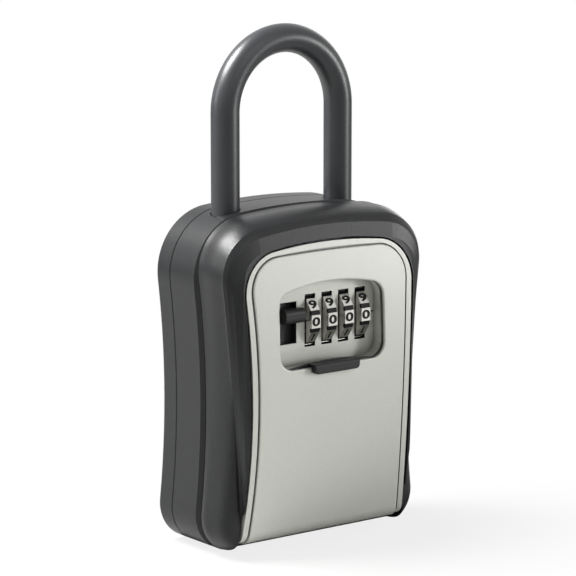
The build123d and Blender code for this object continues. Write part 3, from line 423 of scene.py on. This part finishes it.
for number in range(1, dialEnamel["dials"] + 1):
    dialFigures(number, jointPlaces[f"dial_{number}_turn"])
print("figures and bars made")

coil = {"wireMm": 0.6, "turns": 5, "stepsPerTurn": 24, "sides": 10}


def latchSpring():
    # the latch spring again, as a round wire coiled between the door's shelf and the latch
    low, high = (Vector(corner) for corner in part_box("latch_spring"))
    wire = coil["wireMm"] * mm / 2
    centre = (low + high) / 2
    radius = (high.x - low.x) / 2 - wire
    climb = high.z - low.z - 2 * wire
    steps = coil["turns"] * coil["stepsPerTurn"]
    whole = bmesh.new()
    rings = []
    for step in range(steps + 1):
        turn = 2 * math.pi * step / coil["stepsPerTurn"]
        out = Vector((math.cos(turn), math.sin(turn), 0))
        middle = Vector((centre.x, centre.y, low.z + wire + climb * step / steps)) + out * radius
        angles = (2 * math.pi * side / coil["sides"] for side in range(coil["sides"]))
        rings.append([whole.verts.new(
            middle + out * wire * math.cos(a) + Vector((0, 0, wire * math.sin(a))))
            for a in angles])
    for one, other in zip(rings, rings[1:]):
        for side in range(coil["sides"]):
            after = (side + 1) % coil["sides"]
            whole.faces.new((one[side], other[side], other[after], one[after]))
    whole.faces.new(rings[0])
    whole.faces.new(reversed(rings[-1]))
    bmesh.ops.recalc_face_normals(whole, faces=whole.faces)
    mesh = bpy.data.meshes.new("latch_spring_coil")
    whole.to_mesh(mesh)
    whole.free()
    piece = newPiece("latch_spring_coil", mesh, steelPlate)
    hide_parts("latch_spring")
    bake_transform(piece)


latchSpring()
print("spring made")

# camera at the photograph's place: left of the safe and a little above it
photoCamera = {"place": (-0.6217, -0.8201, 0.2836), "yaw": 37.0, "down": 10.69, "lens": 187.5,
               "sensor": 36.0}
camera = bpy.data.objects.new("camera", bpy.data.cameras.new("camera"))
bpy.context.scene.collection.objects.link(camera)
camera.location = photoCamera["place"]
camera.rotation_euler = (math.radians(90 - photoCamera["down"]), 0,
                         -math.radians(photoCamera["yaw"]))
camera.data.lens, camera.data.sensor_width = photoCamera["lens"], photoCamera["sensor"]
bpy.context.scene.camera = camera

studio = {
    "skyStrength": 0.03,
    "floorSize": 6.0, "floorColour": "#B4B4B2", "floorRoughness": 0.8,
    # the camera sees nearWhite of plain white up to nearBy (m), and all white from farAway on
    "nearWhite": 0.82, "nearBy": 0.05, "farAway": 0.15,
    "lamps": [
        # name, place, aim, width, height, power in watts
        ("leftback", (-0.42, 0.28, 0.76), (-0.03, 0, 0.1), 0.4, 0.4, 22.0),
        ("leftlow", (-0.75, 0.5, 0.35), (-0.03, 0, 0.08), 0.2, 0.3, 1.6),
        ("rightfront", (0.95, -0.8, 0.2), (0, 0, 0.08), 0.3, 0.3, 6.6),
        ("front", (0.15, -0.95, 0.7), (0, 0, 0.08), 0.6, 0.6, 1.4),
        ("rightrim", (0.8, 0.55, 0.3), (0.03, 0, 0.08), 0.3, 0.5, 1.0),
    ],
}


def studioSky():
    # a weak white sky lights the safe; the camera, mirrors and glass see full white
    world = bpy.data.worlds.new("studio")
    bpy.context.scene.world = world
    world.use_nodes = True
    world.node_tree.nodes.clear()
    rays = addNode(world, "ShaderNodeLightPath")
    seen = addNode(world, "ShaderNodeMath", {0: rays.outputs["Is Camera Ray"],
                                             1: rays.outputs["Is Transmission Ray"]},
                   operation="MAXIMUM")
    shown = addNode(world, "ShaderNodeMath", {0: seen, 1: rays.outputs["Is Glossy Ray"]},
                    operation="MAXIMUM")
    light = addNode(world, "ShaderNodeBackground", Color=linear("#FFFFFF"),
                    Strength=studio["skyStrength"])
    white = addNode(world, "ShaderNodeBackground", Color=linear("#FFFFFF"), Strength=1.0)
    mix = addNode(world, "ShaderNodeMixShader", {0: shown, 1: light, 2: white})
    addNode(world, "ShaderNodeOutputWorld", {"Surface": mix})


def studioLamps():
    for name, place, aim, width, height, power in studio["lamps"]:
        lamp = bpy.data.lights.new(name, "AREA")
        lamp.shape, lamp.size, lamp.size_y, lamp.energy = "RECTANGLE", width, height, power
        holder = bpy.data.objects.new(name, lamp)
        bpy.context.scene.collection.objects.link(holder)
        holder.location = place
        toAim = Vector(aim) - Vector(place)
        holder.rotation_euler = toAim.to_track_quat("-Z", "Y").to_euler()


def studioFloor():
    size = studio["floorSize"]
    corners = [(-size, -size, 0), (size, -size, 0), (size, size, 0), (-size, size, 0)]
    mesh = bpy.data.meshes.new("floor")
    mesh.from_pydata(corners, [], [(0, 1, 2, 3)])
    floor = bpy.data.objects.new("floor", mesh)
    bpy.context.scene.collection.objects.link(floor)
    material, shader = newMaterial("pale floor", studio["floorColour"], 0.0,
                                   studio["floorRoughness"])
    mesh.materials.append(material)
    # far from the safe the camera sees plain white; near it the floor keeps its shadow
    place = addNode(material, "ShaderNodeTexCoord").outputs["Object"]
    away = addNode(material, "ShaderNodeVectorMath", {0: place}, operation="LENGTH")
    far = addNode(material, "ShaderNodeMapRange", {"Value": away}, To_Min=studio["nearWhite"],
                  From_Min=studio["nearBy"], From_Max=studio["farAway"])
    rays = addNode(material, "ShaderNodeLightPath")
    seen = addNode(material, "ShaderNodeMath", {0: far, 1: rays.outputs["Is Camera Ray"]},
                   operation="MULTIPLY")
    white = addNode(material, "ShaderNodeEmission")
    mix = addNode(material, "ShaderNodeMixShader", {0: seen, 1: shader, 2: white})
    join(material, material.node_tree.nodes["Material Output"], {"Surface": mix})


studioSky()
studioLamps()
studioFloor()
bpy.context.scene.view_settings.view_transform = "Standard"
print("studio made")
